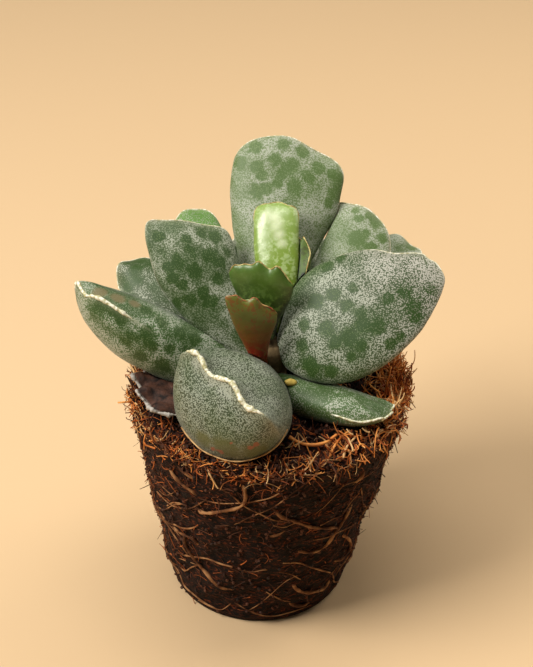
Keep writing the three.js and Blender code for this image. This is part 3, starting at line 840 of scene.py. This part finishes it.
def roughen(point):
    """Moves a point of the plain upright ball onto the lumpy, leaning one. Millimetres."""
    x, y, z = point
    out = LUMP * lumps(x, y, z) * ramp(z, 0.5, 4)
    swell = 1 + out / max(10, math.hypot(x, y))
    crumb = CRUMB * lumps(x * CRUMB_PITCH, y * CRUMB_PITCH, 3) * ramp(z, BALL_HEIGHT - 2, BALL_HEIGHT)
    return Vector((x * swell + BALL_LEAN * z / BALL_HEIGHT, y * swell, z + crumb))


def on_ball(angle, radius, height):
    """A place on the lumpy ball, from one on the plain ball."""
    return roughen((radius * math.cos(angle), radius * math.sin(angle), height))


def mound(radius):
    """How far the soil rises towards the middle."""
    return BALL_MOUND * ramp(BALL_TOP_RADIUS - radius, 0, BALL_TOP_RADIUS)


def wall(height):
    """The plain ball's radius at a height."""
    return BALL_FOOT_RADIUS + (BALL_TOP_RADIUS - BALL_FOOT_RADIUS) * height / BALL_HEIGHT


def ball_profile(step):
    """Radii and heights of the plain ball, from the middle of its foot round to that of its top."""
    foot = BALL_FOOT_RADIUS
    line = [(r * step, 0) for r in range(int((foot - BEVEL) / step))]
    line += [(foot - BEVEL, 0), (foot - BEVEL / 4, BEVEL / 4), (foot, BEVEL)]
    z = BEVEL + step
    while z < BALL_HEIGHT - BEVEL:
        line.append((wall(z), z))
        z += step
    inset = 0.3
    while inset < BALL_TOP_RADIUS:
        rise = BALL_MOUND * ramp(inset, 0, BALL_TOP_RADIUS) - RIM_DROP * (1 - ramp(inset, 0, 1.5))
        line.append((BALL_TOP_RADIUS - inset, BALL_HEIGHT + rise))
        inset += step
    return line + [(0, BALL_HEIGHT + BALL_MOUND)]


peat, tree, surface = new_material("peat", 0.9, 0.2)
place = put(tree, "TexCoord").outputs["Object"]
flat = put(tree, "Mapping", {"Vector": place, "Scale": (1, 1, 2.2)}).outputs["Vector"]
shreds = cloudy(tree, 700, 5, flat, Roughness=0.7, Distortion=1.2)
soil = banded(
    tree, shreds, (0.4, (10, 6, 5)), (0.5, (26, 13, 8)), (0.58, (62, 28, 13)),
    (0.66, (116, 50, 18)), (0.76, (160, 96, 46)),
)
dress(tree, surface, soil, shreds, 0.8, 0.0008)

shape = turned(ball_profile(PEAT_STEP), 220)
for vert in shape.verts:
    vert.co = roughen(vert.co / MM) * MM
shape.normal_update()
for vert in shape.verts:
    fine = noise.fractal(vert.co * 330, 0.8, 2.1, 4)
    vert.co += vert.normal * PEAT_ROUGH * MM * (fine - 0.3) * ramp(vert.co.z / MM, 0.3, 3)
ball = place_mesh("peat_ball", shape, peat)
clear_of_rooms(ball)
ball.data.shade_smooth()
ball.data.set_sharp_from_angle(angle=math.radians(PEAT_CREASE))
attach(ball, "root")
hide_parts("root_ball")

# The roots that circle on the ball's side, tan and knobbly, half sunk in the peat. They took
# this course along the wall of the pot.
ROOT_RADIUS = 0.36
FRONT_ROOTS = [
    [(221, 41), (228, 38), (237, 36), (245, 33)],
    [(225, 42), (234, 40), (243, 38)],
    [(234, 31), (241, 31), (250, 33), (260, 36), (261, 40), (257, 42)],
    [(268, 39), (275, 34), (283, 31), (293, 28), (304, 26), (316, 21.5)],
    [(319, 30), (311, 28), (306, 24), (302, 20), (292, 20.5), (280, 23)],
    [(310, 22), (320, 18), (325, 14), (316, 13), (300, 16)],
    [(230, 24), (227, 20), (230, 16), (238, 13), (248, 10.5), (258, 9)],
    [(206, 19), (222, 21), (233, 21.5), (237, 18)],
    [(269, 26), (276, 27.5), (283, 28.5)],
    [(284, 15), (290, 10), (301, 7), (312, 6.5), (317, 9)],
    [(284, 8), (290, 4.5), (300, 3), (312, 4)],
    [(319, 40), (313, 37), (307, 34)],
]
BACK_ROOTS = 12
BACK_START = 335
BACK_STEP = 18
BACK_TURN = 39
ROOTLETS = 90

draw = 11


def drawn():
    """The next of a fixed row of numbers from 0 to 1, the same row as in the solid."""
    global draw
    draw = draw * 16807 % 2147483647
    return draw / 2147483647


def on_side(degrees, height, sunk):
    """A place on the ball's side, sunk in it by so many mm."""
    return on_ball(math.radians(degrees), wall(height) - sunk, height)


def smooth_route(points, steps):
    """Points along a smooth curve through the given ones."""
    ends = [points[0] * 2 - points[1], *points, points[-1] * 2 - points[-2]]
    route = []
    for a, b, c, d in zip(ends, ends[1:], ends[2:], ends[3:]):
        for i in range(steps):
            t = i / steps
            route.append((
                b * 2 + (c - a) * t + (a * 2 - b * 5 + c * 4 - d) * t ** 2
                + (b * 3 - a - c * 3 + d) * t ** 3
            ) / 2)
    return [*route, points[-1]]


def root_route(route):
    """One circling root, whose two ends dip into the peat."""
    last = len(route) - 1
    points = [
        on_side(degrees, height, (4 if i in (0, last) else -0.4) * ROOT_RADIUS)
        for i, (degrees, height) in enumerate(route)
    ]
    line = smooth_route(points, 10)
    return [
        (p, ROOT_RADIUS * (0.8 + 0.5 * noise.noise(p * 0.6) + 0.25 * noise.noise(p * 1.7)))
        for p in line
    ]


def back_route(i):
    """The course of a root at the back, where the photo doesn't look."""
    start = BACK_START + i * BACK_STEP
    height, climb, bend = 5 + 33 * drawn(), 14 * (drawn() - 0.5), 8 * (drawn() - 0.5)
    route = []
    for k in range(4):
        level = height + climb * k / 3 + (bend if k % 3 else 0)
        route.append((start + BACK_TURN * k / 3, min(BALL_HEIGHT - 3, max(3, level))))
    return route


root_skin, tree, surface = new_material("root_skin", 0.75, 0.25)
stain = cloudy(tree, 350, 4)
tan = banded(tree, stain, (0.4, (70, 38, 18)), (0.5, (120, 76, 42)), (0.62, (166, 120, 78)))
dress(tree, surface, tan, stain, 0.5, 0.0003)


def lay(name, routes, corners, *materials):
    """Puts roots or fibres on the root ball, as one piece."""
    made = new_object(name, strands(name, routes, corners, *materials))
    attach(made, "root")


def rootlet():
    """A thin side root that wanders over the ball's side."""
    degrees, height = chance.uniform(0, 360), chance.uniform(3, BALL_HEIGHT - 3)
    step, climb = chance.choice((-1, 1)) * chance.uniform(5, 9), chance.gauss(0, 1.6)
    points = []
    for _ in range(chance.randint(4, 7)):
        points.append(on_side(degrees, min(BALL_HEIGHT - 1, max(2, height)), -0.05))
        degrees, height = degrees + step, height + climb
        climb += chance.gauss(0, 1)
    radius = chance.uniform(0.07, 0.18)
    line = smooth_route(points, 5)
    return [(p, radius * (1 + 0.5 * noise.noise(p))) for p in line]


chance = random.Random(5)
routes = [root_route(route) for route in FRONT_ROOTS]
routes += [root_route(back_route(i)) for i in range(BACK_ROOTS)]
lay("circling_roots", routes, 8, root_skin)
lay("rootlets", [rootlet() for _ in range(ROOTLETS)], 6, root_skin)

# The coir: thousands of fine, springy fibres from dark brown to bright orange. They mat together
# on the top, hang over the ragged rim and cling to the side.
DEEPEST = 12
leaf_trees = []
for room in rooms:
    shape = bmesh.new()
    shape.from_mesh(room.data)
    low = Vector([min(vert.co[k] for vert in shape.verts) for k in range(3)])
    high = Vector([max(vert.co[k] for vert in shape.verts) for k in range(3)])
    leaf_trees.append((BVHTree.FromBMesh(shape), low, high))
    shape.free()


def in_leaf(point):
    """Whether a point is inside the stem or a leaf, where it's at most DEEPEST from the skin."""
    at = point * MM
    for tree_of, low, high in leaf_trees:
        if all(a <= c <= b for a, c, b in zip(low, at, high)):
            near, normal, _, distance = tree_of.find_nearest(at, DEEPEST * MM)
            if near is not None and (at - near).dot(normal) < -0.5 * distance:
                return True
    return False


FIBRE_STEPS = 8


def shaken(much):
    """A random arrow, about that long each way."""
    return Vector([chance.gauss(0, much) for _ in range(3)])


def fibre(start, way, length, radius, curl):
    """A curly fibre from start. It bends back at the rim and is cut short where it would run into
    a leaf, and nothing comes back where too little of it is left."""
    point, way = start.copy(), way.normalized()
    turn = way.cross(shaken(1)).normalized() * curl
    furthest = BALL_TOP_RADIUS + abs(chance.gauss(0, 0.9))
    route = []
    for i in range(FIBRE_STEPS):
        if in_leaf(point):
            break
        point.z = max(point.z, radius)
        route.append((point.copy(), radius * (1 - 0.5 * i / FIBRE_STEPS)))
        turn += shaken(0.5)
        way = (way + turn / FIBRE_STEPS).normalized()
        point += way * length / FIBRE_STEPS
        past = math.hypot(point.x - BALL_LEAN, point.y) / furthest
        if past > 1:
            point.x = BALL_LEAN + (point.x - BALL_LEAN) / past
            point.y /= past
    return route if len(route) > 2 else None


def flat_way(a, lift):
    """Level at the angle a, apart from that much lift."""
    return Vector((math.cos(a), math.sin(a), lift))


def rim_fibre():
    """Runs mostly along the rim and curls over it."""
    a = chance.uniform(0, 2 * math.pi)
    r = BALL_TOP_RADIUS - 0.2 - abs(chance.gauss(0, 1.8))
    start = on_ball(a, r, BALL_HEIGHT - 0.3 - abs(chance.gauss(0, 1)))
    way = flat_way(a + chance.choice((-1, 1)) * chance.gauss(1.85, 0.4), chance.gauss(0, 0.3))
    stout = chance.random() < 0.08
    radius = chance.uniform(0.17, 0.26) if stout else chance.uniform(0.06, 0.15)
    return fibre(start, way, chance.uniform(3, 8) if stout else chance.uniform(1.5, 5), radius, 2.2)


def right_tangle():
    """The springy tangle that stands out of the rim on the right."""
    a = chance.gauss(-0.15, 0.35)
    r = BALL_TOP_RADIUS - 0.2 - abs(chance.gauss(0, 2.4))
    start = on_ball(a, r, BALL_HEIGHT + chance.uniform(-1, 2.2))
    way = flat_way(a + chance.choice((-1, 1)) * chance.gauss(2, 0.5), chance.gauss(0.1, 0.25))
    return fibre(start, way, chance.uniform(2, 7), chance.uniform(0.1, 0.2), 4)


def top_fibre():
    """Lies on the soil between the leaves."""
    a, r = chance.uniform(0, 2 * math.pi), BALL_TOP_RADIUS * math.sqrt(chance.random())
    start = on_ball(a, r, BALL_HEIGHT + mound(r))
    way = flat_way(chance.uniform(0, 2 * math.pi), chance.gauss(0.1, 0.25))
    return fibre(start, way, chance.uniform(1.5, 6), chance.uniform(0.07, 0.17), 2.2)


def side_fibre():
    """Clings to the side, more of them near the rim."""
    degrees, height = chance.uniform(0, 360), BALL_HEIGHT * chance.random() ** 0.5
    start = on_side(degrees, max(1, height - 0.5), 0.05)
    a = math.radians(degrees)
    way = flat_way(a + chance.choice((-1, 1)) * 1.6, chance.gauss(0, 0.8))
    return fibre(start, way, chance.uniform(1, 4), chance.uniform(0.05, 0.12), 0.8)


def coir(name, dark, light):
    """Dry matt fibre, uneven in tone."""
    material, tree, surface = new_material(name, 0.65, 0.35)
    dress(tree, surface, two_tones(tree, cloudy(tree, 400, 3), 0.35, 0.65, dark, light))
    return material


brown = coir("brown_coir", tone(44, 22, 10), tone(104, 56, 26))
russet = coir("russet_coir", tone(110, 48, 14), tone(188, 98, 36))
orange = coir("orange_coir", tone(186, 96, 30), tone(246, 170, 88))
straw = coir("straw_coir", tone(168, 120, 70), tone(232, 192, 134))

# What each mat is made of: the kind of fibre, how many are tried, and the tones they take in turn.
MATS = {
    "coir_rim": (rim_fibre, 2600, (brown, russet, orange, russet, brown, straw, orange)),
    # The tangle on the right takes only the bright tones. The coir there is orange, and its brightness
    # is partly painted light, for the light that falls on that side of the rim.
    "coir_tangle": (right_tangle, 620, (orange, straw, orange, russet)),
    "coir_top": (top_fibre, 1500, (brown, russet, brown, orange, straw)),
    "coir_side": (side_fibre, 1500, (brown, brown, russet)),
}
for name, (kind, count, tones) in MATS.items():
    routes = [route for route in (kind() for _ in range(count)) if route]
    lay(name, routes, 4, *tones)

# A few strands that can be told apart, with their radii: a bright arc on the soil at the front,
# a long one that hugs the lower side of the front leaf, and two short ones beside the arc.
STOUT = [
    ([
        (5.4, -16.4, 45.2), (7.3, -17.8, 45.1), (9.5, -18.4, 45.2), (11.6, -18, 45.5),
        (13.4, -16.6, 45.9),
    ], 0.3),
    ([
        (-12.9, -16.5, 47.5), (-11.6, -18, 46.5), (-9.6, -19.8, 45.5), (-7.4, -21.1, 45.1),
        (-4.8, -22.2, 45), (-2.3, -22.7, 45.4), (0.2, -22.7, 46.3), (2.3, -22.3, 47.4),
        (3.8, -21.6, 48.7), (5, -19.8, 49.9),
    ], 0.14),
    ([(15.4, -15.2, 45.4), (13.8, -17.2, 45.3), (12.6, -19.2, 44.8), (12, -21, 44.2)], 0.22),
    ([(16.6, -16.4, 45.2), (15, -18.6, 44.8), (14.4, -20.6, 44.2)], 0.2),
]
routes = [
    [(p, radius * (1 + 0.3 * noise.noise(p))) for p in smooth_route([Vector(at) for at in points], 6)]
    for points, radius in STOUT
]
lay("stout_strands", routes, 6, orange, straw)

# Crumbs of peat and bark on the top and the side, and a few pale ones.
crumb_skin = coir("crumb_skin", tone(24, 12, 7), tone(92, 48, 24))
pale_crumb = coir("pale_crumb", tone(150, 128, 104), tone(206, 186, 160))


def crumbs(name, count, small, large, material, spot):
    """Small angular lumps, where spot puts them and no leaf is. Sizes in mm."""
    shape = bmesh.new()
    for _ in range(count):
        at, size = spot(), chance.uniform(small, large)
        turn = Euler([chance.uniform(0, 6.3) for _ in range(3)]).to_matrix().to_4x4()
        wide, high = size * chance.uniform(0.6, 1), size * chance.uniform(0.4, 0.9)
        stretch = Matrix.Diagonal((size, wide, high, 1))
        if not in_leaf(at):
            placed = Matrix.Translation(at * MM) @ turn @ stretch
            bmesh.ops.create_icosphere(shape, subdivisions=1, radius=MM, matrix=placed)
    made = place_mesh(name, shape, material)
    made.data.shade_flat()
    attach(made, "root")


def on_top():
    """A place on the soil, which is lower at the rim."""
    a, r = chance.uniform(0, 2 * math.pi), BALL_TOP_RADIUS * math.sqrt(chance.random())
    rise = mound(r) - 0.6 * ramp(r, 23, 25)
    return on_ball(a, r, BALL_HEIGHT + rise + 0.1)


def on_wall():
    """A place on the side, more often a high one."""
    return on_side(chance.uniform(0, 360), BALL_HEIGHT * (0.03 + 0.96 * chance.random() ** 0.6), -0.1)


# A small pale yellow bud at the foot of the low right leaf.
BUD_PLACE = Vector((5.7, -7.3, 49.9))
bud_skin, _, _ = new_material("bud_skin", 0.45, 0.4, {"Base Color": tone(206, 178, 88)})
shape = bmesh.new()
bmesh.ops.create_uvsphere(shape, u_segments=32, v_segments=24, radius=MM)
bmesh.ops.scale(shape, verts=shape.verts, vec=(1.1, 0.7, 0.6))
bmesh.ops.rotate(shape, verts=shape.verts, matrix=Euler((0, 0.25, 0.3)).to_matrix())
bmesh.ops.translate(shape, verts=shape.verts, vec=BUD_PLACE * MM)
uneven(shape, 0.15, 0.8)
bud = place_mesh("yellow_bud", shape, bud_skin)
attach(bud, "root")

crumbs("top_crumbs", 1300, 0.15, 0.6, crumb_skin, on_top)
crumbs("side_crumbs", 1500, 0.12, 0.45, crumb_skin, on_wall)
crumbs("pale_crumbs", 36, 0.15, 0.4, pale_crumb, on_top)

# The rooms aren't part of the plant.
for room in rooms:
    bpy.data.objects.remove(room)
